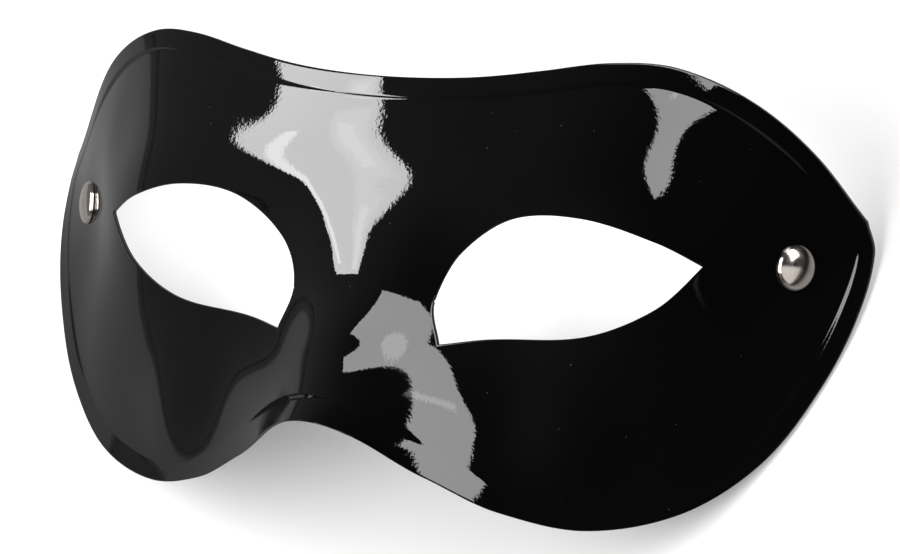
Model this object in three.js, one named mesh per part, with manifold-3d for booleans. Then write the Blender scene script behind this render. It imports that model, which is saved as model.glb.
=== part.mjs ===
import * as THREE from 'three';
import { mergeVertices } from 'three/addons/utils/BufferGeometryUtils.js';
import Module from 'manifold-3d';

// A masquerade eye mask: one thin moulded shell with two eye holes, and a domed rivet through each
// temple. Lengths are in millimetres and angles in degrees.
//
// A place on the face is (across, up): across is the way along the bent face from its centre line,
// up is the height towards the forehead. In the mask's own frame +X is across, +Y is up and +Z
// comes out of the face. The left half mirrors the right one.

const wallThickness = 1;
const steepestCut = 0.5;

// How far the face has turned back, at each distance across.
const bendAcross = [0, 20, 40, 60, 78, 96, 114];
const bendDegrees = [0, -6.8, 19.2, 42.9, 55.5, 51.4, 48.6];

// How far the nose stands out, at each height, and how wide its bell is.
const noseUp = [-56, -32, -14, 6, 26];
const noseHeight = [46, 41.8, 16.7, 3.6, 8.6];
const noseWidth = 22.8;
const noseTaper = 0.013;

// Slow curves of the whole face. Each acts in full at faceReach across or faceRise up or down.
const faceReach = 112;
const faceRise = 45;
const foreheadBack = 28.5;
const cheekForward = 8.1;
const faceTilt = 14.1;
const templeTwist = 15.7;
const templeTwistFar = 11.5;
const cheekSideBack = 6.8;
const browSideForward = 39.4;

// Swells and hollows of the face: how far across and up, their reach across and up, and their height.
const faceSwells = [
  [0, -11.9, 10.8, 7.8, 2.36], [0, 24, 14, 14, -1.46], [15, 14, 12, 12, -0.7], [28, 26, 13, 13, -2.02],
  [46, 26, 13, 13, -1.35], [66, 22, 14, 14, -1.99], [13, -22, 11, 11, -0.77], [26, -28, 12, 12, -3.61],
  [40, -34, 12, 12, 2.33], [58, -28, 14, 14, -0.15], [78, 0, 14, 14, -0.53], [80, -22, 14, 14, 0.8],
  [0, 4, 12, 12, 0.74], [8, 8, 8, 8, 0.53], [0, -4, 8, 8, -0.15],
];

// The hollow that each eye hole lies in, told as the swells are.
const eyeSocket = [30.6, -0.9, 20.3, 13.6, -5.97];

// The soft crest over the eye and down the side of the nose, which fades towards the edge and the
// centre line. Its end lies less far across below the eye's inner tip than above the eye.
const crestHeight = 0.59;
const crestFromEye = 9;
const crestInside = 7.4;
const crestOutside = 8.2;
const crestEndBelow = 10;
const crestEndAbove = 46.3;
const crestEndFade = [-10, 12];
const crestEdgeFade = [2, 14];
const crestCentreFade = 12.6;

// The slope that runs in to the eye hole from bevelFromEye, with ends like the crest's.
const bevelFromEye = 7.2;
const bevelSlope = 0.136;
const bevelSoftness = 2.1;
const bevelEndBelow = 27.3;
const bevelEndAbove = 46;
const bevelEndFade = [-12, 12];

// The heights between which both ends move out across.
const endLevels = [-14, 6];

// The border along the edge. It stands a little over the face inside it, but not low on the cheeks,
// and only a share of that at the temples. It leans out towards the edge, but not at the temples.
const borderWidth = 4;
const borderStep = 0.45;
const borderStepFade = [-38, -20];
const borderStepSides = 0.25;
const borderSlope = 1;
const borderTilt = 8;
const borderSidesFade = [80, 100];

// The edge of the right half, from the top of the forehead over the brow to the temple's corner,
// then down round the cheek to the arch over the nose.
const upperEdge = [
  [0, 35.9], [15.4, 36.6], [31.4, 38.9], [47.6, 41.2], [62, 41], [78, 35.8], [95.9, 25.1], [110.5, 12.2],
];
const lowerEdge = [
  [110.5, 12.2], [112.1, 6.1], [106.7, -6.5], [97.3, -20.9], [84.2, -35.3], [67.8, -44.6],
  [47.1, -48.1], [30.3, -44.6], [20.5, -38], [10.7, -30.1], [0, -27.4],
];

// The right eye hole: over the top from its outer corner to its inner tip, then back below.
const upperLid = [
  [68.3, 3.4], [57.3, 7.8], [42.4, 11.6], [28.4, 10.6], [18.1, 3.2], [14.6, -6], [16.9, -14.1],
];
const lowerLid = [[16.9, -14.1], [24.3, -12.8], [44.7, -11.1], [58.8, -5.2], [68.3, 3.4]];

// Rivets. A rivet's own +Z comes out of the face, from the shell's outer surface.
const rivetPlace = [92, 3.2];
const rivetHoleRadius = 1.9;
const shankRadius = 1.6;
const capRadius = 4.5;
const capRise = 1.5;
const capBrim = 0.35;
const capChamfer = 0.2;
const tailRadius = 3.5;
const tailThickness = 0.8;
const tailChamfer = 0.3;
const fitGap = 0.3;
const drillLength = 8;

// The mask lies face up, as it rocks to rest: on the edge of its two sides below the temples, which
// is trimmed there to two small flats. Its centre then stands this far before and over the origin.
const leanBack = 30.75;
const restForward = -1.81;
const restHeight = 44.3;
const tableDepth = 40;
const tableWidth = 400;

// The mesh of each half. Its columns start on the bridge of the nose, go over the eye hole to the
// outer corner, come back under it and up its inner side, and end on the bridge. Each column runs out
// to the edge, where the bridge's columns and the inner side's keep these lengths from the centre.
const bridgeUp = -5;
const bridgeColumns = 5;
const overColumns = 34;
const underColumns = 32;
const innerColumns = 6;
const bridgeEdgeAbove = 15;
const bridgeEdgeBelow = 12;
const innerEdgeBelow = 26;

// Rings of each column: these lengths from the eye hole, but no more than a share of the column,
// then plain ones up to the border.
const eyeRings = [0, 4, 8, 12.5];
const eyeRingsShare = 0.55;
const plainRings = 5;
const roundSides = 24;
const domeSteps = 6;
const fineSteps = 600;
const lineSteps = 60;
const planStep = 0.5;
const halvings = 24;
const normalReach = 0.4;
const weldDistance = 1e-4;

// A smooth curve through values at knots, with straight ends unless their slopes are given.
function smoothCurve(knots, values, startSlope, endSlope) {
  const last = knots.length - 1;
  const chord = (a, b) => (values[b] - values[a]) / (knots[b] - knots[a]);
  const slopes = knots.map((_, i) => chord(Math.max(i - 1, 0), Math.min(i + 1, last)));
  if (startSlope !== undefined) slopes[0] = startSlope;
  if (endSlope !== undefined) slopes[last] = endSlope;
  return (at) => {
    const x = Math.min(Math.max(at, knots[0]), knots[last]);
    let i = 0;
    while (i < last - 1 && x >= knots[i + 1]) i += 1;
    const span = knots[i + 1] - knots[i];
    const u = (x - knots[i]) / span;
    const rise = u * u * (3 - 2 * u);
    const startPull = u * (1 - u) * (1 - u) * span * slopes[i];
    const endPull = u * u * (1 - u) * span * slopes[i + 1];
    return values[i] + (values[i + 1] - values[i]) * rise + startPull - endPull;
  };
}

// Points evenly spaced along a line, between two lengths measured from its start.
function stretch(line, from, to, count) {
  const run = [0];
  for (let i = 1; i < line.length; i += 1) run.push(run[i - 1] + line[i].distanceTo(line[i - 1]));
  let k = 0;
  return Array.from({ length: count + 1 }, (_, i) => {
    const target = from + ((to - from) * i) / count;
    while (k < line.length - 2 && run[k + 1] < target) k += 1;
    const part = THREE.MathUtils.clamp((target - run[k]) / (run[k + 1] - run[k]), 0, 1);
    return line[k].clone().lerp(line[k + 1], part);
  });
}

const lengthOf = (line) => line.slice(1).reduce((sum, point, i) => sum + point.distanceTo(line[i]), 0);

// The smooth line through a few control points, as evenly spaced points.
function smoothLine(controls, startWay = [], endWay = []) {
  const knots = [0];
  for (let i = 1; i < controls.length; i += 1) {
    const [a, b] = [controls[i - 1], controls[i]];
    knots.push(knots[i - 1] + Math.hypot(b[0] - a[0], b[1] - a[1]));
  }
  const axes = [0, 1].map((k) => smoothCurve(knots, controls.map((p) => p[k]), startWay[k], endWay[k]));
  const length = knots[knots.length - 1];
  const fine = Array.from({ length: fineSteps + 1 }, (_, i) => {
    const at = (length * i) / fineSteps;
    return new THREE.Vector2(axes[0](at), axes[1](at));
  });
  return stretch(fine, 0, lengthOf(fine), lineSteps);
}

function distanceTo(line, across, up) {
  let nearest = Infinity;
  for (let i = 1; i < line.length; i += 1) {
    const [a, b] = [line[i - 1], line[i]];
    const [dx, dy] = [b.x - a.x, b.y - a.y];
    const along = ((across - a.x) * dx + (up - a.y) * dy) / (dx * dx + dy * dy);
    const u = Math.min(Math.max(along, 0), 1);
    nearest = Math.min(nearest, Math.hypot(across - a.x - u * dx, up - a.y - u * dy));
  }
  return nearest;
}

const smoothStep = (low, high, x) => THREE.MathUtils.smoothstep(x, low, high);
const bell = (x, width) => Math.exp(-((x / width) ** 2));

const overEdge = smoothLine(upperEdge, [1, 0]);
const underEdge = smoothLine(lowerEdge, [], [-1, 0]);
const edgeLine = [...overEdge, ...underEdge.slice(1)];
const lidAbove = smoothLine(upperLid);
const lidBelow = smoothLine(lowerLid);
const lidLine = [...lidAbove, ...lidBelow.slice(1)];

// The bent face before its relief: a line in plan, walked outwards from the centre.
const bendAt = smoothCurve(bendAcross, bendDegrees, undefined, 0);
const plan = [{ x: 0, z: 0, turn: 0 }];
for (let at = planStep; at <= bendAcross[bendAcross.length - 1]; at += planStep) {
  const before = plan[plan.length - 1];
  const turn = THREE.MathUtils.degToRad(bendAt(at));
  plan.push({
    x: before.x + (planStep * (Math.cos(before.turn) + Math.cos(turn))) / 2,
    z: before.z - (planStep * (Math.sin(before.turn) + Math.sin(turn))) / 2,
    turn,
  });
}

function planAt(across) {
  const i = Math.min(Math.floor(across / planStep), plan.length - 2);
  const part = across / planStep - i;
  const mix = (key) => plan[i][key] + (plan[i + 1][key] - plan[i][key]) * part;
  return { x: mix('x'), z: mix('z'), turn: mix('turn') };
}

const noseAt = smoothCurve(noseUp, noseHeight, 0, 0);

// A swell or hollow, with its twin on the other side of the centre line.
function pairOfBells(across, up, [at, level, wide, tall, height]) {
  return height * (bell(across - at, wide) + bell(across + at, wide)) * bell(up - level, tall);
}

function slowCurves(across, up) {
  const far = (across / faceReach) ** 2;
  const rise = Math.max(up, 0) / faceRise;
  const fall = Math.min(up, 0) / faceRise;
  const nose = noseAt(up) * bell(across, noseWidth - noseTaper * up);
  const forehead = -foreheadBack * rise ** 2 + cheekForward * fall ** 2;
  const temple = -(templeTwist * far + templeTwistFar * far ** 2) * (rise + fall);
  const sides = browSideForward * far * rise ** 2 - cheekSideBack * far * fall ** 2;
  const swells = faceSwells.reduce((sum, swell) => sum + pairOfBells(across, up, swell), 0);
  return nose + forehead + temple + sides + faceTilt * (rise + fall) + swells;
}

// 1 up to an end that lies further across above the eye than below it, then fading to 0.
function beforeEnd(across, up, below, above, fade) {
  const end = THREE.MathUtils.lerp(below, above, smoothStep(...endLevels, up));
  return 1 - smoothStep(end + fade[0], end + fade[1], across);
}

function eyeRelief(across, up, fromEdge) {
  const fromEye = distanceTo(lidLine, across, up);
  const past = fromEye - crestFromEye;
  const offEdges = smoothStep(...crestEdgeFade, fromEdge) * smoothStep(0, crestCentreFade, across);
  const alongCrest = beforeEnd(across, up, crestEndBelow, crestEndAbove, crestEndFade);
  const crest = bell(past, past < 0 ? crestInside : crestOutside) * alongCrest * offEdges;
  const alongBevel = beforeEnd(across, up, bevelEndBelow, bevelEndAbove, bevelEndFade);
  const bevel = bevelSoftness * Math.log1p(Math.exp((bevelFromEye - fromEye) / bevelSoftness)) * alongBevel;
  return pairOfBells(across, up, eyeSocket) + crestHeight * crest - bevelSlope * bevel;
}

function borderRelief(across, up, fromEdge) {
  const outside = borderWidth - fromEdge;
  const lean = Math.tan(THREE.MathUtils.degToRad(borderTilt)) * Math.max(outside, 0);
  const sides = smoothStep(...borderSidesFade, across);
  const step = smoothStep(-borderSlope / 2, borderSlope / 2, outside) * smoothStep(...borderStepFade, up);
  const height = borderStep * THREE.MathUtils.lerp(1, borderStepSides, sides);
  return lean * (1 - sides) + height * (step - 1);
}

// A point of the outer surface, for a place on the face.
function faceAt(across, up) {
  const side = Math.abs(across);
  const { x, z, turn } = planAt(side);
  const fromEdge = distanceTo(edgeLine, side, up);
  const relief = eyeRelief(side, up, fromEdge) + borderRelief(side, up, fromEdge);
  const out = slowCurves(side, up) + relief;
  const point = new THREE.Vector3(x + out * Math.sin(turn), up, z + out * Math.cos(turn));
  if (across < 0) point.x *= -1;
  return point;
}

function normalAt(across, up) {
  const right = faceAt(across + normalReach, up).sub(faceAt(across - normalReach, up));
  const upward = faceAt(across, up + normalReach).sub(faceAt(across, up - normalReach));
  return right.cross(upward).normalize();
}

// How far along a column its distance to the edge falls to an inset.
function partAtInset(start, end, inset) {
  let [low, high] = [0, 1];
  for (let i = 0; i < halvings; i += 1) {
    const middle = (low + high) / 2;
    const at = start.clone().lerp(end, middle);
    if (distanceTo(edgeLine, at.x, at.y) > inset) low = middle;
    else high = middle;
  }
  return low;
}

function columnPlaces(start, end) {
  const length = start.distanceTo(end);
  const stepIn = partAtInset(start, end, borderWidth + borderSlope / 2);
  const stepOut = partAtInset(start, end, borderWidth - borderSlope / 2);
  const shrink = Math.min(1, (eyeRingsShare * stepIn * length) / eyeRings[eyeRings.length - 1]);
  const parts = eyeRings.map((way) => (way * shrink) / length);
  const last = parts[parts.length - 1];
  for (let i = 1; i <= plainRings; i += 1) parts.push(last + ((stepIn - last) * i) / plainRings);
  parts.push(stepOut, 1);
  return parts.map((part) => start.clone().lerp(end, part));
}

function halfColumns() {
  const innermost = lidAbove.reduce((best, point, i) => (point.x < lidAbove[best].x ? i : best), 0);
  const aboveFromBridge = lidAbove.slice(0, innermost + 1).reverse();
  const tipToBridge = lidAbove.slice(innermost).reverse();
  const cornerToTip = [...lidBelow].reverse();
  const bridge = [new THREE.Vector2(0, bridgeUp), aboveFromBridge[0]];
  const [overLength, underLength] = [lengthOf(overEdge), lengthOf(underEdge)];
  const whole = (line, count) => stretch(line, 0, lengthOf(line), count);
  const join = (...stretches) => stretches.flatMap((points, i) => points.slice(i > 0 ? 1 : 0));
  const starts = join(
    whole(bridge, bridgeColumns),
    whole(aboveFromBridge, overColumns),
    whole(cornerToTip, underColumns),
    whole(tipToBridge, innerColumns),
    whole([...bridge].reverse(), bridgeColumns),
  );
  const ends = join(
    stretch(overEdge, 0, bridgeEdgeAbove, bridgeColumns),
    stretch(overEdge, bridgeEdgeAbove, overLength, overColumns),
    stretch(underEdge, 0, underLength - innerEdgeBelow, underColumns),
    stretch(underEdge, underLength - innerEdgeBelow, underLength - bridgeEdgeBelow, innerColumns),
    stretch(underEdge, underLength - bridgeEdgeBelow, underLength, bridgeColumns),
  );
  return starts.map((start, i) => columnPlaces(start, ends[i]));
}

// The inner surface lies a wall's thickness behind the outer one. Cut edges run straight back.
function behind(front, normal, isCut) {
  if (!isCut) return front.clone().addScaledVector(normal, -wallThickness);
  const back = front.clone();
  back.z -= wallThickness / Math.max(normal.z, steepestCut);
  return back;
}

function shellGeometry() {
  const columns = halfColumns();
  const lastRing = columns[0].length - 1;
  const positions = [];
  const index = [];
  const onBridge = (i) => i < bridgeColumns || i >= columns.length - 1 - bridgeColumns;
  for (const side of [1, -1]) {
    const start = positions.length / 3;
    columns.forEach((column, i) => {
      column.forEach((place, ring) => {
        const front = faceAt(place.x, place.y);
        const isHole = ring === 0 && i >= bridgeColumns && i < columns.length - bridgeColumns;
        const back = behind(front, normalAt(place.x, place.y), ring === lastRing || isHole);
        if (place.x === 0) back.x = 0;
        positions.push(side * front.x, front.y, front.z, side * back.x, back.y, back.z);
      });
    });
    const vertex = (i, ring, isBack) => start + 2 * (i * (lastRing + 1) + ring) + (isBack ? 1 : 0);
    const quad = (a, b, c, d) => {
      if (side > 0) index.push(a, c, b, a, d, c);
      else index.push(a, b, c, a, c, d);
    };
    for (let i = 0; i < columns.length - 1; i += 1) {
      for (let j = 0; j < lastRing; j += 1) {
        quad(vertex(i, j), vertex(i, j + 1), vertex(i + 1, j + 1), vertex(i + 1, j));
        quad(vertex(i, j, true), vertex(i + 1, j, true), vertex(i + 1, j + 1, true), vertex(i, j + 1, true));
      }
      if (!onBridge(i)) quad(vertex(i, 0), vertex(i + 1, 0), vertex(i + 1, 0, true), vertex(i, 0, true));
      const [near, far] = [vertex(i, lastRing), vertex(i + 1, lastRing)];
      quad(near, vertex(i, lastRing, true), vertex(i + 1, lastRing, true), far);
    }
  }
  const geometry = new THREE.BufferGeometry();
  geometry.setAttribute('position', new THREE.Float32BufferAttribute(positions, 3));
  geometry.setIndex(index);
  return geometry;
}

// What the table takes off the edge, in the mask's own frame.
function tableGeometry() {
  const table = new THREE.BoxGeometry(tableWidth, tableWidth, tableDepth);
  table.translate(0, -restForward, -restHeight - tableDepth / 2);
  return table.rotateX(-THREE.MathUtils.degToRad(leanBack));
}

// A rivet: a domed cap outside, a shank through the shell and a flat clinched tail inside.
function rivetGeometry() {
  const underside = -wallThickness - fitGap;
  const points = [
    [0, underside - tailThickness],
    [tailRadius - tailChamfer, underside - tailThickness],
    [tailRadius, underside - tailThickness + tailChamfer],
    [tailRadius, underside],
    [shankRadius, underside],
    [shankRadius, fitGap],
    [capRadius - capChamfer, fitGap],
    [capRadius, fitGap + capChamfer],
    [capRadius, fitGap + capBrim],
  ];
  for (let i = 1; i <= domeSteps; i += 1) {
    const turn = (i / domeSteps) * (Math.PI / 2);
    const rise = (capRise - capBrim) * Math.sin(turn);
    points.push([i < domeSteps ? capRadius * Math.cos(turn) : 0, fitGap + capBrim + rise]);
  }
  const geometry = new THREE.LatheGeometry(points.map(([r, z]) => new THREE.Vector2(r, z)), roundSides);
  return geometry.rotateX(Math.PI / 2);
}

function rivetPose(side) {
  const [across, up] = rivetPlace;
  const outward = normalAt(side * across, up);
  const turn = new THREE.Quaternion().setFromUnitVectors(new THREE.Vector3(0, 0, 1), outward);
  return { point: faceAt(side * across, up), turn };
}

const wasm = await Module();
wasm.setup();

function toSolid(geometry) {
  const bare = geometry.clone();
  bare.deleteAttribute('normal');
  bare.deleteAttribute('uv');
  const merged = mergeVertices(bare, weldDistance);
  const mesh = new wasm.Mesh({
    numProp: 3,
    vertProperties: new Float32Array(merged.attributes.position.array),
    triVerts: new Uint32Array(merged.index.array),
  });
  return new wasm.Manifold(mesh);
}

function toGeometry(solid) {
  const mesh = solid.getMesh();
  const geometry = new THREE.BufferGeometry();
  geometry.setAttribute('position', new THREE.BufferAttribute(mesh.vertProperties, 3));
  geometry.setIndex(new THREE.BufferAttribute(mesh.triVerts, 1));
  geometry.computeVertexNormals();
  return geometry;
}

const mask = new THREE.Group();
mask.rotation.x = THREE.MathUtils.degToRad(leanBack);
mask.position.set(0, restForward, restHeight);

const glossBlack = new THREE.MeshStandardMaterial({ color: 0x0b0b0c, roughness: 0.08, metalness: 0 });
const polishedNickel = new THREE.MeshStandardMaterial({ color: 0xcfc8c2, roughness: 0.12, metalness: 1 });

let shell = toSolid(shellGeometry()).subtract(toSolid(tableGeometry()));
for (const [name, side] of [['rivet_right', 1], ['rivet_left', -1]]) {
  const { point, turn } = rivetPose(side);
  const drill = new THREE.CylinderGeometry(rivetHoleRadius, rivetHoleRadius, drillLength, roundSides);
  drill.rotateX(Math.PI / 2).applyQuaternion(turn).translate(point.x, point.y, point.z);
  shell = shell.subtract(toSolid(drill));

  const rivet = new THREE.Mesh(rivetGeometry(), polishedNickel);
  rivet.name = name;
  rivet.position.copy(point);
  rivet.quaternion.copy(turn);
  mask.add(rivet);
}

const maskShell = new THREE.Mesh(toGeometry(shell), glossBlack);
maskShell.name = 'mask_shell';
mask.add(maskShell);

const object = new THREE.Group();
object.add(mask);

export default object;
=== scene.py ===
import math

import bmesh
import bpy
import numpy as np
from mathutils import Matrix, Vector


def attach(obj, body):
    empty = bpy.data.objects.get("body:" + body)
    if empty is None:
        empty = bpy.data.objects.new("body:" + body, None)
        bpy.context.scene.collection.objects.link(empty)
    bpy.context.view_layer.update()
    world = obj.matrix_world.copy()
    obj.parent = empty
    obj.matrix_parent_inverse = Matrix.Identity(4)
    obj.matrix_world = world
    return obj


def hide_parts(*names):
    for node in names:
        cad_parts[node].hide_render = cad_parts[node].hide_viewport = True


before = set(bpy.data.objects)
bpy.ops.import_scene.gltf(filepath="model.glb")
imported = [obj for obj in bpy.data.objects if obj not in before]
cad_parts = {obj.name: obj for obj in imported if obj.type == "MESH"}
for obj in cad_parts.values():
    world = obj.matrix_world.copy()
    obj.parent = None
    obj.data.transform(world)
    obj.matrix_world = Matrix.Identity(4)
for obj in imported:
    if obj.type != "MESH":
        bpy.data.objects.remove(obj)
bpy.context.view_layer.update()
scene = bpy.context.scene
scene.view_settings.view_transform = "Standard"
mm = 0.001
print("frame loaded:", sorted(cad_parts))

# A place on the face is (across, up) in millimetres: across runs along the bent face from its centre
# line, up towards the forehead. In the mask's own frame x is across, y up and z out of the face.
face = {
    "wall": 1.0,
    "steepestCut": 0.5,
    "bendAcross": [0, 20, 40, 60, 78, 96, 114],
    "bendDegrees": [0, -6.8, 19.2, 42.9, 55.5, 51.4, 48.6],  # how far the face has turned back
    "noseUp": [-56, -32, -14, 6, 26],
    "noseHeight": [46, 41.8, 16.7, 3.6, 8.6],
    "noseWidth": 22.8,
    "noseTaper": 0.013,
    "reach": 112,
    "rise": 45,
    "foreheadBack": 28.5,
    "cheekForward": 8.1,
    "tilt": 14.1,
    "templeTwist": 15.7,
    "templeTwistFar": 11.5,
    "cheekSideBack": 6.8,
    "browSideForward": 39.4,
    # Swells and hollows: how far across and up, their reach across and up, and their height.
    "swells": [
        (0, -11.9, 10.8, 7.8, 2.36), (0, 24, 14, 14, -1.46), (15, 14, 12, 12, -0.7),
        (28, 26, 13, 13, -2.02), (46, 26, 13, 13, -1.35), (66, 22, 14, 14, -1.99),
        (13, -22, 11, 11, -0.77), (26, -28, 12, 12, -3.61), (40, -34, 12, 12, 2.33),
        (58, -28, 14, 14, -0.15), (78, 0, 14, 14, -0.53), (80, -22, 14, 14, 0.8),
        (0, 4, 12, 12, 0.74), (8, 8, 8, 8, 0.53), (0, -4, 8, 8, -0.15),
    ],
    "socket": (30.6, -0.9, 20.3, 13.6, -5.97),
    # The soft crest over the eye and down the side of the nose. Its end, and that of the slope round
    # the eye, lies further across above the end levels than below them.
    "crestHeight": 0.59,
    "crestFromEye": 9,
    "crestInside": 7.4,
    "crestOutside": 8.2,
    "crestEndBelow": 10,
    "crestEndAbove": 46.3,
    "endLevels": (-14, 6),
    "crestEndFade": (-10, 12),
    "crestEdgeFade": (2, 14),
    "crestCentreFade": 12.6,
    "bevelFromEye": 7.2,  # the face slopes in towards the eye hole from here
    "bevelSlope": 0.136,
    "bevelSoftness": 2.1,
    "bevelEndBelow": 27.3,
    "bevelEndAbove": 46,
    "bevelEndFade": (-12, 12),
    "borderWidth": 4,
    "borderStep": 0.45,
    "borderStepFade": (-38, -20),  # up from the lower edge
    "borderStepSides": 0.25,  # the share of the step that is left at the temples
    "borderSlope": 1,
    "borderTilt": 8,  # degrees that the border leans out towards the edge
    "borderSidesFade": (80, 100),  # across to the temples
    "upperEdge": [
        (0, 35.9), (15.4, 36.6), (31.4, 38.9), (47.6, 41.2), (62, 41), (78, 35.8), (95.9, 25.1),
        (110.5, 12.2),
    ],
    "lowerEdge": [
        (110.5, 12.2), (112.1, 6.1), (106.7, -6.5), (97.3, -20.9), (84.2, -35.3), (67.8, -44.6),
        (47.1, -48.1), (30.3, -44.6), (20.5, -38), (10.7, -30.1), (0, -27.4),
    ],
    "upperLid": [
        (68.3, 3.4), (57.3, 7.8), (42.4, 11.6), (28.4, 10.6), (18.1, 3.2), (14.6, -6), (16.9, -14.1),
    ],
    "lowerLid": [(16.9, -14.1), (24.3, -12.8), (44.7, -11.1), (58.8, -5.2), (68.3, 3.4)],
    "placesAtOnce": 2000,
    "fineSteps": 600,
    "lineSteps": 240,
    "planStep": 0.05,
    "normalReach": 0.4,
}

# How the mask lies on the table, face up.
lying = {"leanDegrees": 30.75, "forward": -1.81, "height": 44.3}


def smoothCurve(knots, values, startSlope=None, endSlope=None):
    knots = np.asarray(knots, float)
    values = np.asarray(values, float)
    last = len(knots) - 1
    index = np.arange(last + 1)
    before = np.maximum(index - 1, 0)
    after = np.minimum(index + 1, last)
    slopes = (values[after] - values[before]) / (knots[after] - knots[before])
    slopes[0] = slopes[0] if startSlope is None else startSlope
    slopes[last] = slopes[last] if endSlope is None else endSlope

    def at(x):
        x = np.clip(x, knots[0], knots[-1])
        i = np.clip(np.searchsorted(knots, x, side="right") - 1, 0, last - 1)
        span = knots[i + 1] - knots[i]
        u = (x - knots[i]) / span
        pull = u * (1 - u) ** 2 * slopes[i] - u * u * (1 - u) * slopes[i + 1]
        return values[i] + (values[i + 1] - values[i]) * u * u * (3 - 2 * u) + pull * span

    return at


def runOf(line):
    return np.concatenate([[0], np.cumsum(np.linalg.norm(np.diff(line, axis=0), axis=1))])


def stretch(line, start, end, count):  # evenly spaced points between two lengths along a line
    run = runOf(line)
    at = np.linspace(start, end, count + 1)
    return np.stack([np.interp(at, run, line[:, k]) for k in range(line.shape[1])], axis=1)


def whole(line, count):
    return stretch(line, 0, runOf(line)[-1], count)


def smoothLine(controls, startWay=(None, None), endWay=(None, None)):
    controls = np.asarray(controls, float)
    knots = runOf(controls)
    at = np.linspace(0, knots[-1], face["fineSteps"] + 1)
    axes = [smoothCurve(knots, controls[:, k], startWay[k], endWay[k])(at) for k in (0, 1)]
    return whole(np.stack(axes, axis=1), face["lineSteps"])


def distanceTo(line, places):
    start = line[:-1]
    way = np.diff(line, axis=0)
    length = (way**2).sum(1)
    found = []
    for part in np.array_split(places, max(1, len(places) // face["placesAtOnce"])):
        off = part[:, None, :] - start[None]
        u = np.clip((off * way).sum(2) / length, 0, 1)
        found.append(np.sqrt(((off - u[..., None] * way) ** 2).sum(2).min(1)))
    return np.concatenate(found)


def smoothStep(low, high, x):
    u = np.clip((x - low) / (high - low), 0, 1)
    return u * u * (3 - 2 * u)


def bell(x, width):
    return np.exp(-((x / width) ** 2))


overEdge = smoothLine(face["upperEdge"], startWay=(1, 0))
underEdge = smoothLine(face["lowerEdge"], endWay=(-1, 0))
edgeLine = np.concatenate([overEdge, underEdge[1:]])
lidAbove = smoothLine(face["upperLid"])
lidBelow = smoothLine(face["lowerLid"])
lidLine = np.concatenate([lidAbove, lidBelow[1:]])

planAcross = np.arange(0, face["bendAcross"][-1], face["planStep"])
planTurn = np.radians(smoothCurve(face["bendAcross"], face["bendDegrees"], endSlope=0)(planAcross))


def walked(values):
    return np.concatenate([[0], np.cumsum((values[1:] + values[:-1]) / 2) * face["planStep"]])


planX = walked(np.cos(planTurn))
planZ = -walked(np.sin(planTurn))
noseAt = smoothCurve(face["noseUp"], face["noseHeight"], 0, 0)


def slowCurves(across, up):
    far = (across / face["reach"]) ** 2
    rise = np.maximum(up, 0) / face["rise"]
    fall = np.minimum(up, 0) / face["rise"]
    nose = noseAt(up) * bell(across, face["noseWidth"] - face["noseTaper"] * up)
    forehead = face["cheekForward"] * fall**2 - face["foreheadBack"] * rise**2
    temple = -(face["templeTwist"] * far + face["templeTwistFar"] * far**2) * (rise + fall)
    sides = face["browSideForward"] * far * rise**2 - face["cheekSideBack"] * far * fall**2
    out = nose + forehead + temple + sides + face["tilt"] * (rise + fall)
    for swell in face["swells"]:
        out = out + pairOfBells(across, up, *swell)
    return out


def pairOfBells(across, up, at, level, wide, tall, height):  # one on each side of the centre line
    return height * (bell(across - at, wide) + bell(across + at, wide)) * bell(up - level, tall)


def beforeEnd(across, up, below, above, fade):  # 1 up to an end that lies further across above the eye
    end = below + (above - below) * smoothStep(*face["endLevels"], up)
    return 1 - smoothStep(end + fade[0], end + fade[1], across)


def eyeRelief(across, up, fromEdge):
    fromEye = distanceTo(lidLine, np.stack([across, up], axis=1))
    past = fromEye - face["crestFromEye"]
    crest = bell(past, np.where(past < 0, face["crestInside"], face["crestOutside"]))
    crest = crest * beforeEnd(across, up, face["crestEndBelow"], face["crestEndAbove"], face["crestEndFade"])
    crest = crest * smoothStep(*face["crestEdgeFade"], fromEdge)
    crest = crest * smoothStep(0, face["crestCentreFade"], across)
    soft = face["bevelSoftness"]
    bevel = soft * np.logaddexp(0, (face["bevelFromEye"] - fromEye) / soft)
    bevel = bevel * beforeEnd(across, up, face["bevelEndBelow"], face["bevelEndAbove"], face["bevelEndFade"])
    hollow = pairOfBells(across, up, *face["socket"])
    return hollow + face["crestHeight"] * crest - face["bevelSlope"] * bevel


def borderRelief(across, up, fromEdge):
    half = face["borderSlope"] / 2
    outside = face["borderWidth"] - fromEdge
    curl = math.tan(math.radians(face["borderTilt"])) * np.maximum(outside, 0)
    sides = smoothStep(*face["borderSidesFade"], across)
    step = smoothStep(-half, half, outside) * smoothStep(*face["borderStepFade"], up)
    height = face["borderStep"] * (1 + (face["borderStepSides"] - 1) * sides)
    return curl * (1 - sides) + height * (step - 1)


def surfaceAt(across, up, relief=True):
    turn = np.interp(across, planAcross, planTurn)
    out = slowCurves(across, up)
    if relief:
        fromEdge = distanceTo(edgeLine, np.stack([across, up], axis=1))
        out = out + eyeRelief(across, up, fromEdge) + borderRelief(across, up, fromEdge)
    x = np.interp(across, planAcross, planX) + out * np.sin(turn)
    z = np.interp(across, planAcross, planZ) + out * np.cos(turn)
    return np.stack([x, up, z], axis=1)


def normalAt(across, up, relief=True):
    reach = face["normalReach"]
    side = np.maximum(across, reach)  # beside the centre line, whose normal has no x
    right = surfaceAt(side + reach, up, relief) - surfaceAt(side - reach, up, relief)
    upward = surfaceAt(side, up + reach, relief) - surfaceAt(side, up - reach, relief)
    normal = np.cross(right, upward)
    return normal / np.linalg.norm(normal, axis=1)[:, None]


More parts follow.
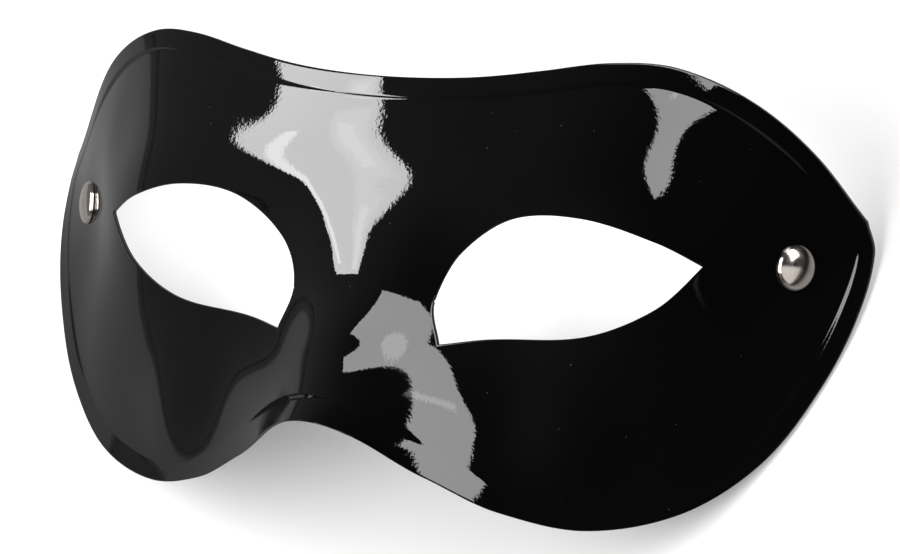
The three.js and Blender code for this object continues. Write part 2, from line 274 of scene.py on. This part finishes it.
lean = math.radians(lying["leanDegrees"])
leanTurn = np.array([[1, 0, 0], [0, math.cos(lean), -math.sin(lean)], [0, math.sin(lean), math.cos(lean)]])
standsAt = np.array([0, lying["forward"], lying["height"]])


def toTable(points):
    return (np.asarray(points) @ leanTurn.T + standsAt) * mm


# The shell's mesh. Columns start on the bridge of the nose, go over the eye hole to its outer corner,
# back under it and up its inner side, and end on the bridge. Each column runs out to the edge.
shell = {
    "bridgeUp": -5,
    "bridgeColumns": 24,
    "overColumns": 150,
    "underColumns": 134,
    "innerColumns": 26,
    "bridgeEdgeAbove": 15,
    "bridgeEdgeBelow": 12,
    "innerEdgeBelow": 26,
    "eyeReach": 12.5,
    "eyeShare": 0.55,
    "eyeRings": 13,
    "plainRings": 21,
    "stepRings": 8,
    "stepMargin": 0.3,
    "borderRings": 6,
    "rimRadius": 0.25,
    "rimSteps": 4,
    "rimGuard": 0.15,
    "halvings": 24,
    "sharpDegrees": 40,
    "weld": 1e-6,
}


def leftOf(line, closed):  # unit normals to the left of the way along a line of points
    if closed:
        way = np.roll(line[:-1], -1, axis=0) - np.roll(line[:-1], 1, axis=0)
        way = np.concatenate([way, way[:1]])
    else:
        way = np.gradient(line, axis=0)
        way[0, 1] = way[-1, 1] = 0  # the edge crosses the centre line level
    normal = np.stack([-way[:, 1], way[:, 0]], axis=1)
    return normal / np.linalg.norm(normal, axis=1)[:, None]


def join(*lines):
    return np.concatenate([lines[0]] + [line[1:] for line in lines[1:]])


def columnEnds():
    bridge, over = shell["bridgeColumns"], shell["overColumns"]
    under, inner = shell["underColumns"], shell["innerColumns"]
    innermost = int(np.argmin(lidAbove[:, 0]))
    lid = join(
        whole(lidAbove[: innermost + 1][::-1], over),
        whole(lidBelow[::-1], under),
        whole(lidAbove[innermost:][::-1], inner),
    )
    overLength, underLength = runOf(overEdge)[-1], runOf(underEdge)[-1]
    aboveWay, belowWay, innerWay = shell["bridgeEdgeAbove"], shell["bridgeEdgeBelow"], shell["innerEdgeBelow"]
    edge = join(
        stretch(overEdge, 0, aboveWay, bridge),
        stretch(overEdge, aboveWay, overLength, over),
        stretch(underEdge, 0, underLength - innerWay, under),
        stretch(underEdge, underLength - innerWay, underLength - belowWay, inner),
        stretch(underEdge, underLength - belowWay, underLength, bridge),
    )
    lidInset = lid + leftOf(lid, closed=True) * shell["rimRadius"]
    edgeInset = edge - leftOf(edge, closed=False) * shell["rimRadius"]
    across = np.linspace([0, shell["bridgeUp"]], lidInset[0], bridge + 1)
    starts = join(across, lidInset, across[::-1])
    rims = join(across, lid, across[::-1])
    return starts, edgeInset, rims, edge


def partAtInset(starts, ends, inset):
    low, high = np.zeros(len(starts)), np.ones(len(starts))
    for _ in range(shell["halvings"]):
        middle = (low + high) / 2
        beyond = distanceTo(edgeLine, starts + (ends - starts) * middle[:, None]) > inset
        low, high = np.where(beyond, middle, low), np.where(beyond, high, middle)
    return low


def ringParts(starts, ends):
    length = np.linalg.norm(ends - starts, axis=1)
    half = face["borderSlope"] / 2 + shell["stepMargin"]
    stepIn = partAtInset(starts, ends, face["borderWidth"] + half)
    stepOut = partAtInset(starts, ends, face["borderWidth"] - half)
    eyeWay = np.minimum(shell["eyeReach"] / length, shell["eyeShare"] * stepIn)
    guard = shell["rimGuard"] / length
    counts = [shell["eyeRings"], shell["plainRings"], shell["stepRings"], shell["borderRings"]]
    stops = [guard, eyeWay, stepIn, stepOut, 1 - guard]
    parts = [np.zeros_like(length), guard]
    for count, start, end in zip(counts, stops, stops[1:]):
        parts += [start + (end - start) * k / count for k in range(1, count + 1)]
    parts.append(np.ones_like(length))
    return np.stack(parts, axis=1)


def wallBehind(places):
    normal = normalAt(places[:, 0], places[:, 1], relief=False)
    return face["wall"] / np.maximum(normal[:, 2], face["steepestCut"])


def roundRim(front, rim, back, depth):  # a column's points round a cut edge, from the front to the back
    turn = shell["rimRadius"]
    straight = np.array([0, 0, -1])
    low = rim + straight * depth[:, None]
    shares = [k / shell["rimSteps"] for k in range(1, shell["rimSteps"] + 1)]

    def bent(start, corner, end, t):
        return start * (1 - t) ** 2 + corner * 2 * t * (1 - t) + end * t * t

    firsts = [bent(front, rim, rim + straight * turn, t) for t in shares]
    lasts = [bent(back, low, low - straight * turn, t) for t in shares]
    return np.stack(firsts + lasts[::-1], axis=1)


def halfShell():
    starts, ends, lids, edges = columnEnds()
    parts = ringParts(starts, ends)
    places = starts[:, None] + (ends - starts)[:, None] * parts[..., None]
    columns, rings = parts.shape
    flat = places.reshape(-1, 2)
    front = surfaceAt(flat[:, 0], flat[:, 1]).reshape(columns, rings, 3)
    depth = wallBehind(flat).reshape(columns, rings)
    back = front + np.array([0, 0, -1]) * depth[..., None]
    edgeRim = roundRim(front[:, -1], surfaceAt(edges[:, 0], edges[:, 1]), back[:, -1], wallBehind(edges))
    lidRim = roundRim(front[:, 0], surfaceAt(lids[:, 0], lids[:, 1]), back[:, 0], wallBehind(lids))[:, ::-1]
    loops = np.concatenate([front, edgeRim, back[:, ::-1], lidRim], axis=1)
    around = loops.shape[1]
    inside = np.zeros(around)
    inside[rings + edgeRim.shape[1] : 2 * rings + edgeRim.shape[1]] = 1
    inside = np.tile(inside, columns)
    bridge = shell["bridgeColumns"]
    lastBack = 2 * rings + edgeRim.shape[1] - 1
    quads = []
    for i in range(columns - 1):
        onBridge = i < bridge or i >= columns - 1 - bridge
        for j in range(lastBack if onBridge else around):
            k = (j + 1) % around
            quads.append((i * around + j, (i + 1) * around + j, (i + 1) * around + k, i * around + k))
    return loops.reshape(-1, 3), quads, inside


def buildShell():
    points, quads, inside = halfShell()
    mirrored = points * np.array([-1, 1, 1])
    count = len(points)
    everyPoint = toTable(np.concatenate([points, mirrored]))
    everyQuad = [q[::-1] for q in quads] + [tuple(i + count for i in q) for q in quads]
    mesh = bpy.data.meshes.new("mask_shell_fine")
    mesh.from_pydata(everyPoint.tolist(), [], everyQuad)
    layer = mesh.attributes.new("inside", "FLOAT", "POINT")
    layer.data.foreach_set("value", np.concatenate([inside, inside]).astype(np.float32))
    form = bmesh.new()
    form.from_mesh(mesh)
    bmesh.ops.delete(form, geom=[v for v in form.verts if not v.link_faces], context="VERTS")
    bmesh.ops.remove_doubles(form, verts=form.verts, dist=shell["weld"])
    everything = form.verts[:] + form.edges[:] + form.faces[:]
    bmesh.ops.bisect_plane(form, geom=everything, plane_co=(0, 0, 0), plane_no=(0, 0, 1), clear_inner=True)
    bmesh.ops.holes_fill(form, edges=[e for e in form.edges if e.is_boundary])
    bmesh.ops.triangulate(form, faces=[f for f in form.faces if len(f.verts) > 4])
    bmesh.ops.recalc_face_normals(form, faces=form.faces)
    form.to_mesh(mesh)
    form.free()
    piece = bpy.data.objects.new("mask_shell_fine", mesh)
    scene.collection.objects.link(piece)
    return piece


# The rivets. Their own z comes out of the face, from the shell's outer surface.
rivet = {
    "place": (92, 3.2),
    "holeRadius": 1.9,
    "drillLength": 8,
    "shankRadius": 1.6,
    "capRadius": 4.5,
    "capTop": 1.75,
    "brimTop": 0.5,
    "brimRound": 0.22,
    "brimTurn": 60,  # degrees of the brim's upper round, where the dome starts
    "sink": 0.08,  # how far the cap is pressed into the plastic
    "tailRadius": 3.5,
    "tailEnd": -2.1,
    "tailRound": 0.3,
    "grooveRadius": 2.3,
    "grooveHalf": 0.25,
    "grooveFloorHalf": 0.1,
    "grooveDepth": 0.12,
    "sides": 96,
    "drillSides": 48,
    "roundSteps": 6,
    "domeSteps": 20,
}


def rivetPose(side):
    across, up = (np.array([value], float) for value in rivet["place"])
    mirror = np.array([side, 1, 1])
    point = Vector(toTable(surfaceAt(across, up)[0] * mirror))
    outward = Vector(leanTurn @ (normalAt(across, up)[0] * mirror))
    return point, outward


def quarter(centre, radius, start, end):  # a rounded corner of the rivet's outline, angles in degrees
    turns = np.radians(np.linspace(start, end, rivet["roundSteps"] + 1))
    return [(centre[0] + radius * math.cos(t), centre[1] + radius * math.sin(t)) for t in turns]


def rivetOutline():
    r, tail = rivet, rivet["tailEnd"]
    under = -face["wall"] + r["sink"]
    slope = ((-r["grooveHalf"], 0), (-r["grooveFloorHalf"], r["grooveDepth"]))
    groove = [(r["grooveRadius"] + step, tail + depth) for step, depth in slope]
    groove += [(r["grooveRadius"] - step, tail + depth) for step, depth in slope[::-1]]
    tailCorner = quarter((r["tailRadius"] - r["tailRound"], tail + r["tailRound"]), r["tailRound"], -90, 0)
    brimTop = (r["capRadius"] - r["brimRound"], r["brimTop"] - r["brimRound"])
    points = [(0, tail)] + groove + tailCorner + [(r["tailRadius"], under), (r["shankRadius"], under)]
    points += [(r["shankRadius"], -r["sink"]), (r["capRadius"] - r["brimRound"], -r["sink"])]
    points += quarter((r["capRadius"] - r["brimRound"], r["brimRound"] - r["sink"]), r["brimRound"], -90, 0)
    points += quarter(brimTop, r["brimRound"], 0, r["brimTurn"])
    foot = points[-1]
    for k in range(1, r["domeSteps"] + 1):
        turn = math.pi / 2 * k / r["domeSteps"]
        points.append((foot[0] * math.cos(turn), foot[1] + (r["capTop"] - foot[1]) * math.sin(turn)))
    points[-1] = (0, r["capTop"])
    return points


def wire(tree, kind, sockets=None, **settings):  # a node with its settings, its inputs linked or set
    node = tree.nodes.new(kind)
    for name, value in settings.items():
        setattr(node, name, value)
    for name, value in (sockets or {}).items():
        if isinstance(value, bpy.types.NodeSocket):
            tree.links.new(value, node.inputs[name])
        else:
            node.inputs[name].default_value = value
    return node


def mathNode(tree, operation, first, second=0.0):
    return wire(tree, "ShaderNodeMath", {0: first, 1: second}, operation=operation).outputs[0]


def rivetTree(material):
    tree = bpy.data.node_groups.new("turnedRivet", "GeometryNodeTree")
    sockets = {}
    inputs = {"Places": "Geometry", "Outline": "Object", "Outline Points": "Int", "Sides": "Int"}
    for name, kind in inputs.items():
        sockets[name] = tree.interface.new_socket(name, in_out="INPUT", socket_type="NodeSocket" + kind)
    tree.interface.new_socket("Rivets", in_out="OUTPUT", socket_type="NodeSocketGeometry")
    given = tree.nodes.new("NodeGroupInput").outputs
    outline = wire(tree, "GeometryNodeObjectInfo", {"Object": given["Outline"]})
    seam = mathNode(tree, "ADD", given["Sides"], 1)
    grid = wire(tree, "GeometryNodeMeshGrid", {"Vertices X": seam, "Vertices Y": given["Outline Points"]})
    index = tree.nodes.new("GeometryNodeInputIndex").outputs[0]
    column = mathNode(tree, "FLOOR", mathNode(tree, "DIVIDE", index, given["Outline Points"]))
    row = mathNode(tree, "MODULO", index, given["Outline Points"])
    turn = mathNode(tree, "MULTIPLY", mathNode(tree, "DIVIDE", column, given["Sides"]), 2 * math.pi)
    position = tree.nodes.new("GeometryNodeInputPosition").outputs[0]
    sample = wire(
        tree, "GeometryNodeSampleIndex", {"Geometry": outline.outputs["Geometry"], "Index": row},
        data_type="FLOAT_VECTOR", clamp=True,
    )
    tree.links.new(position, sample.inputs["Value"])
    at = wire(tree, "ShaderNodeSeparateXYZ", {0: sample.outputs[0]}).outputs
    spun = wire(tree, "ShaderNodeCombineXYZ", {
        0: mathNode(tree, "MULTIPLY", at[0], mathNode(tree, "COSINE", turn)),
        1: mathNode(tree, "MULTIPLY", at[0], mathNode(tree, "SINE", turn)),
        2: at[2],
    })
    turned = wire(tree, "GeometryNodeSetPosition", {
        "Geometry": grid.outputs["Mesh"],
        "Position": spun.outputs[0],
    })
    closed = wire(tree, "GeometryNodeMergeByDistance", {
        "Geometry": turned.outputs[0],
        "Distance": shell["weld"],
    })
    outward = wire(
        tree, "GeometryNodeInputNamedAttribute", {"Name": "outward"}, data_type="FLOAT_VECTOR"
    )
    stand = wire(tree, "FunctionNodeAlignRotationToVector", {"Vector": outward.outputs[0]}, axis="Z")
    placed = wire(tree, "GeometryNodeInstanceOnPoints", {
        "Points": given["Places"],
        "Instance": closed.outputs[0],
        "Rotation": stand.outputs[0],
    })
    real = wire(tree, "GeometryNodeRealizeInstances", {"Geometry": placed.outputs[0]})
    dressed = wire(tree, "GeometryNodeSetMaterial", {"Geometry": real.outputs[0], "Material": material})
    end = tree.nodes.new("NodeGroupOutput")
    tree.links.new(dressed.outputs[0], end.inputs[0])
    return tree, sockets


def baked(piece, name):  # the evaluated object as a plain mesh of its own
    graph = bpy.context.evaluated_depsgraph_get()
    mesh = bpy.data.meshes.new_from_object(piece.evaluated_get(graph))
    mesh.name = name
    made = bpy.data.objects.new(name, mesh)
    scene.collection.objects.link(made)
    bpy.data.objects.remove(piece)
    return made


def smoothed(piece, degrees):
    piece.data.shade_smooth()
    piece.data.set_sharp_from_angle(angle=math.radians(degrees))
    return piece


def buildRivet(name, side, tree, sockets, outline):
    point, outward = rivetPose(side)
    mesh = bpy.data.meshes.new(name + "_place")
    mesh.from_pydata([point], [], [])
    mesh.attributes.new("outward", "FLOAT_VECTOR", "POINT").data[0].vector = outward
    place = bpy.data.objects.new(name + "_place", mesh)
    scene.collection.objects.link(place)
    modifier = place.modifiers.new("turned", "NODES")
    modifier.node_group = tree
    modifier[sockets["Outline"].identifier] = outline
    modifier[sockets["Outline Points"].identifier] = len(outline.data.vertices)
    modifier[sockets["Sides"].identifier] = rivet["sides"]
    return smoothed(baked(place, name), shell["sharpDegrees"])


def drillShell(piece):  # the hole that each shank passes through
    form = bmesh.new()
    for side in (1, -1):
        point, outward = rivetPose(side)
        stand = Matrix.Translation(point) @ outward.to_track_quat("Z", "Y").to_matrix().to_4x4()
        bmesh.ops.create_cone(
            form, cap_ends=True, segments=rivet["drillSides"], radius1=rivet["holeRadius"] * mm,
            radius2=rivet["holeRadius"] * mm, depth=rivet["drillLength"] * mm, matrix=stand,
        )
    mesh = bpy.data.meshes.new("drills")
    form.to_mesh(mesh)
    form.free()
    drills = bpy.data.objects.new("drills", mesh)
    scene.collection.objects.link(drills)
    cut = piece.modifiers.new("drilled", "BOOLEAN")
    cut.operation = "DIFFERENCE"
    cut.solver = "EXACT"
    cut.object = drills
    made = baked(piece, "mask_shell_gloss")
    bpy.data.objects.remove(drills)
    return smoothed(made, shell["sharpDegrees"])


# Materials. Patterns read Object coordinates, in metres.
gloss = {
    "colour": (0.0014, 0.0014, 0.0015, 1),
    "dustColour": (0.03, 0.029, 0.028, 1),
    "dustScale": 260,
    "dustSize": 0.035,
    "roughness": (0.02, 0.055),  # cleanest and most smudged
    "insideRoughness": 0.3,
    "smudgeScale": 45,
    "smudgeDetail": 4.0,
    "smudgeFrom": 0.45,
    "smudgeTo": 0.75,
    "peelScale": 1500,
    "peelDepth": 0.000007,
    "waveScale": 70,
    "waveDetail": 1.0,
    "waveDepth": 0.00002,
}
nickel = {
    "colour": (0.74, 0.69, 0.65, 1),
    "tarnish": (0.6, 0.53, 0.47, 1),
    "tarnishScale": 420,
    "tarnishDetail": 4.0,
    "tarnishFrom": 0.3,
    "tarnishTo": 0.7,
    "roughness": (0.09, 0.17),
    "scratchStretch": (5200, 500, 900),
    "scratchDepth": 0.0000012,
}


def newMaterial(name):
    material = bpy.data.materials.new(name)
    material.use_nodes = True
    return material, material.node_tree, material.node_tree.nodes["Principled BSDF"]


def noiseAt(tree, at, scale, detail=2.0):
    return wire(tree, "ShaderNodeTexNoise", {"Vector": at, "Scale": scale, "Detail": detail}).outputs[0]


def ranged(tree, value, low, high, start, end):
    return wire(tree, "ShaderNodeMapRange", {
        "Value": value, "From Min": low, "From Max": high, "To Min": start, "To Max": end,
    }).outputs[0]


def mixedColour(tree, share, first, second):  # sockets 6 and 7 are the two colours
    return wire(tree, "ShaderNodeMix", {0: share, 6: first, 7: second}, data_type="RGBA").outputs[2]


def mixedValue(tree, share, first, second):
    return wire(tree, "ShaderNodeMix", {0: share, 2: first, 3: second}, data_type="FLOAT").outputs[0]


def glossBlack():  # moulded gloss plastic: orange peel, smudges and dust outside, duller inside
    material, tree, surface = newMaterial("glossBlack")
    at = tree.nodes.new("ShaderNodeTexCoord").outputs["Object"]
    grain = wire(tree, "ShaderNodeTexVoronoi", {"Vector": at, "Scale": gloss["dustScale"]})
    dust = mathNode(tree, "LESS_THAN", grain.outputs["Distance"], gloss["dustSize"])
    colour = mixedColour(tree, dust, gloss["colour"], gloss["dustColour"])
    tree.links.new(colour, surface.inputs["Base Color"])
    smudge = noiseAt(tree, at, gloss["smudgeScale"], gloss["smudgeDetail"])
    outside = ranged(tree, smudge, gloss["smudgeFrom"], gloss["smudgeTo"], *gloss["roughness"])
    inside = wire(tree, "ShaderNodeAttribute", attribute_name="inside").outputs["Fac"]
    rough = mixedValue(tree, inside, outside, gloss["insideRoughness"])
    tree.links.new(rough, surface.inputs["Roughness"])
    wave = noiseAt(tree, at, gloss["waveScale"], gloss["waveDetail"])
    slow = wire(tree, "ShaderNodeBump", {"Height": wave, "Distance": gloss["waveDepth"]}).outputs[0]
    peel = noiseAt(tree, at, gloss["peelScale"])
    fine = wire(tree, "ShaderNodeBump", {
        "Height": peel, "Distance": gloss["peelDepth"], "Normal": slow,
    })
    tree.links.new(fine.outputs[0], surface.inputs["Normal"])
    return material


def polishedNickel():  # faint tarnish and fine scratches
    material, tree, surface = newMaterial("polishedNickel")
    at = tree.nodes.new("ShaderNodeTexCoord").outputs["Object"]
    cloud = noiseAt(tree, at, nickel["tarnishScale"], nickel["tarnishDetail"])
    colour = mixedColour(tree, cloud, nickel["colour"], nickel["tarnish"])
    tree.links.new(colour, surface.inputs["Base Color"])
    surface.inputs["Metallic"].default_value = 1
    rough = ranged(tree, cloud, nickel["tarnishFrom"], nickel["tarnishTo"], *nickel["roughness"])
    tree.links.new(rough, surface.inputs["Roughness"])
    streaks = wire(tree, "ShaderNodeMapping", {"Vector": at, "Scale": nickel["scratchStretch"]}).outputs[0]
    scratch = wire(tree, "ShaderNodeBump", {
        "Height": noiseAt(tree, streaks, 1.0), "Distance": nickel["scratchDepth"],
    })
    tree.links.new(scratch.outputs[0], surface.inputs["Normal"])
    return material


shellPiece = drillShell(buildShell())
shellPiece.data.materials.clear()
shellPiece.data.materials.append(glossBlack())
print("shell built:", len(shellPiece.data.polygons), "faces")

outlineMesh = bpy.data.meshes.new("rivetOutline")
outlineMesh.from_pydata([(r * mm, 0, z * mm) for r, z in rivetOutline()], [], [])
outlineObject = bpy.data.objects.new("rivetOutline", outlineMesh)
scene.collection.objects.link(outlineObject)
tree, sockets = rivetTree(polishedNickel())
rivetPieces = {
    side: buildRivet("rivet_cap_" + side, sign, tree, sockets, outlineObject)
    for side, sign in (("right", 1), ("left", -1))
}
bpy.data.objects.remove(outlineObject)
print("rivets turned:", sorted(piece.name for piece in rivetPieces.values()))

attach(shellPiece, "root")
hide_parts("mask_shell")
for side, piece in rivetPieces.items():
    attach(piece, "root")
    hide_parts("rivet_" + side)


# The camera stands where the photograph was taken from, told in the mask's own frame: it turns about
# the mask, then steps back, and its axis misses the middle by the two shifts.
view = {
    "yawDegrees": 18.1813,
    "pitchDegrees": 5.6007,
    "rollDegrees": 3.6644,
    "back": 628.71,
    "right": 15.6895,
    "up": -2.8996,
    "focalPixels": 3268.55,
    "imageWidth": 900,
    "sensor": 36,
    "clip": (0.01, 20),
}


def turnAbout(axis, degrees):
    return np.array(Matrix.Rotation(math.radians(degrees), 3, axis))


def buildCamera():
    axes = turnAbout("Z", -view["rollDegrees"]) @ turnAbout("X", view["pitchDegrees"])
    axes = axes @ turnAbout("Y", -view["yawDegrees"])
    place = axes.T @ np.array([view["right"], view["up"], view["back"]])
    data = bpy.data.cameras.new("camera")
    data.sensor_width = view["sensor"]
    data.lens = view["focalPixels"] * view["sensor"] / view["imageWidth"]
    data.clip_start, data.clip_end = view["clip"]
    camera = bpy.data.objects.new("camera", data)
    camera.matrix_world = Matrix.LocRotScale(
        Vector(toTable(place)), Matrix((leanTurn @ axes.T).tolist()).to_quaternion(), None
    )
    scene.collection.objects.link(camera)
    scene.camera = camera


# The floor is pale paper that glows a little, most of all under the eyes: painted light, which lifts the
# shade under the mask. Gloss sees it dim, and darker still beyond the sheet's lit middle: painted shade,
# as under flags in a studio.
stage = {
    "floorSize": 4.0,
    "paper": (0.46, 0.46, 0.46),
    "paperRoughness": 0.8,
    # painted light: the floor's own glow, and the extra glow in the oval under the eyes
    "glow": 0.2,
    "glowUnder": 0.7,
    "glowCentre": (-0.01, 0.03),
    "glowReach": (0.1, 0.045),
    "glowFade": (0.4, 1.1),
    # painted light and shade as gloss sees the floor: these areas stay lit, the dim shares darken it beyond
    # them
    "litAreas": [((-0.31, -0.3), (0.1, 0.3)), ((0, -0.6), (0.6, -0.14))],
    "litFade": 0.06,
    "litShare": 0.28,
    "dimShares": (0.12, 0.008),  # on the left and on the right
    "dimFrom": -0.3,
    "dimTo": 0.1,
    "worldLeft": (0.17, 0.17, 0.17, 1),
    "worldRight": (0.015, 0.015, 0.015, 1),
}

# Lamps face the mask's middle. Each leans from overhead towards a heading, counted from +X towards +Y,
# and is turned about its own axis by its roll. Sizes and distances are in metres. The hot ones are the
# brighter parts of a softbox, and stand just before it. The card lights the caps of the rivets alone.
lamps = {
    "leftSoftbox": {
        "lean": 35.1, "heading": -149.4, "distance": 1.2, "roll": -2, "size": (0.59, 1.51),
        "radiance": 13.5, "inGloss": True,
    },
    "rightSoftbox": {
        "lean": 52.7, "heading": 30.3, "distance": 1.2, "roll": 59.5, "size": (0.4, 1.29),
        "radiance": 6.8, "inGloss": True,
    },
    "leftHotEdge": {
        "lean": 45.4, "heading": -149.2, "distance": 1.19, "roll": -13, "size": (0.07, 0.82),
        "radiance": 5, "inGloss": True,
    },
    "leftHotMiddle": {
        "lean": 26.5, "heading": -146, "distance": 1.19, "roll": 0, "size": (0.15, 0.95),
        "radiance": 1.3, "inGloss": True,
    },
    "leftHotCore": {
        "lean": 26.5, "heading": -146, "distance": 1.18, "roll": 0, "size": (0.07, 0.8),
        "radiance": 1.5, "inGloss": True,
    },
    "rightHotEdge": {
        "lean": 61, "heading": 25, "distance": 1.19, "roll": 0, "size": (0.05, 0.4),
        "radiance": 2.5, "inGloss": True,
    },
    "lowFill": {
        "lean": 80, "heading": 90, "distance": 0.9, "roll": 0, "size": (1.0, 0.12),
        "radiance": 12, "inGloss": False,
    },
    "capCard": {
        "lean": 73, "heading": -32, "distance": 0.9, "roll": 24, "size": (1.8, 0.7),
        "radiance": 0.8, "inGloss": True, "lights": list(rivetPieces.values()),
    },
}


def softStep(tree, value, low, high):
    return wire(tree, "ShaderNodeMapRange", {
        "Value": value, "From Min": low, "From Max": high,
    }, interpolation_type="SMOOTHSTEP").outputs[0]


# Painted shade: the floor's colour as glossy rays see it, lit in the middle and darkened beyond.
def litShare(tree, axes):  # the lit share in the middle of the floor, falling to the dim shares beyond it
    lit = 0.0
    for corners in stage["litAreas"]:
        inside = 1.0
        for axis, low, high in zip(axes, *corners):
            for edge, beyond in ((low, low - stage["litFade"]), (high, high + stage["litFade"])):
                inside = mathNode(tree, "MULTIPLY", softStep(tree, axis, beyond, edge), inside)
        lit = mathNode(tree, "MAXIMUM", inside, lit)
    dim = ranged(tree, axes[0], stage["dimFrom"], stage["dimTo"], *stage["dimShares"])
    return ranged(tree, lit, 0.0, 1.0, dim, stage["litShare"])


# Painted light: the floor glows most in an oval under the eyes, brightening the floor in the mask's shade.
def floorGlow(tree, axes):
    away = None
    for axis, centre, reach in zip(axes, stage["glowCentre"], stage["glowReach"]):
        part = mathNode(tree, "DIVIDE", mathNode(tree, "SUBTRACT", axis, centre), reach)
        square = mathNode(tree, "MULTIPLY", part, part)
        away = square if away is None else mathNode(tree, "SQRT", mathNode(tree, "ADD", away, square))
    start, end = stage["glowFade"]
    under = softStep(tree, away, end, start)
    return ranged(tree, under, 0.0, 1.0, stage["glow"], stage["glow"] + stage["glowUnder"])


def buildStage():
    half = stage["floorSize"] / 2
    mesh = bpy.data.meshes.new("floor")
    corners = [(-half, -half, 0), (half, -half, 0), (half, half, 0), (-half, half, 0)]
    mesh.from_pydata(corners, [], [(0, 1, 2, 3)])
    floor = bpy.data.objects.new("floor", mesh)
    scene.collection.objects.link(floor)
    material, tree, surface = newMaterial("floorPaper")
    at = tree.nodes.new("ShaderNodeTexCoord").outputs["Object"]
    axes = wire(tree, "ShaderNodeSeparateXYZ", {0: at}).outputs
    inGloss = tree.nodes.new("ShaderNodeLightPath").outputs["Is Glossy Ray"]
    # painted shade: only glossy rays see the paper darkened by these shares
    share = mixedValue(tree, inGloss, 1.0, litShare(tree, axes))
    paper = wire(tree, "ShaderNodeVectorMath", {0: stage["paper"], "Scale": share}, operation="SCALE")
    tree.links.new(paper.outputs[0], surface.inputs["Base Color"])
    surface.inputs["Emission Color"].default_value = (1, 1, 1, 1)
    # the painted glow, dimmed in gloss by the same shares as the paper
    glow = mathNode(tree, "MULTIPLY", floorGlow(tree, axes), share)
    tree.links.new(glow, surface.inputs["Emission Strength"])
    surface.inputs["Roughness"].default_value = stage["paperRoughness"]
    surface.inputs["Specular IOR Level"].default_value = 0
    mesh.materials.append(material)
    world = bpy.data.worlds.new("studio")
    world.use_nodes = True
    tree = world.node_tree
    way = tree.nodes.new("ShaderNodeTexCoord").outputs["Generated"]
    side = softStep(tree, wire(tree, "ShaderNodeSeparateXYZ", {0: way}).outputs[0], -1.0, 1.0)
    colour = mixedColour(tree, side, stage["worldLeft"], stage["worldRight"])
    tree.links.new(colour, tree.nodes["Background"].inputs[0])
    scene.world = world


def placeLamp(name, lean, heading, distance, roll, size, radiance, inGloss, lights=None):
    data = bpy.data.lights.new(name, "AREA")
    data.shape = "RECTANGLE"
    data.size, data.size_y = size
    data.energy = radiance * math.pi * size[0] * size[1]
    lamp = bpy.data.objects.new(name, data)
    lean, heading = math.radians(lean), math.radians(heading)
    outward = Vector((math.sin(lean) * math.cos(heading), math.sin(lean) * math.sin(heading), math.cos(lean)))
    right = Vector((0, 1, 0)).cross(outward).normalized()
    up = outward.cross(right)
    facing = Matrix((right, up, outward)).transposed()
    facing = facing @ Matrix.Rotation(math.radians(roll), 3, "Z")
    lamp.matrix_world = Matrix.LocRotScale(outward * distance, facing.to_quaternion(), None)
    lamp.visible_glossy = inGloss
    lamp.visible_camera = False
    scene.collection.objects.link(lamp)
    if lights:
        lamp.light_linking.receiver_collection = bpy.data.collections.new(name)
        for piece in lights:
            lamp.light_linking.receiver_collection.objects.link(piece)


buildCamera()
buildStage()
for name, values in lamps.items():
    placeLamp(name, **values)
print("camera, stage and lights set")
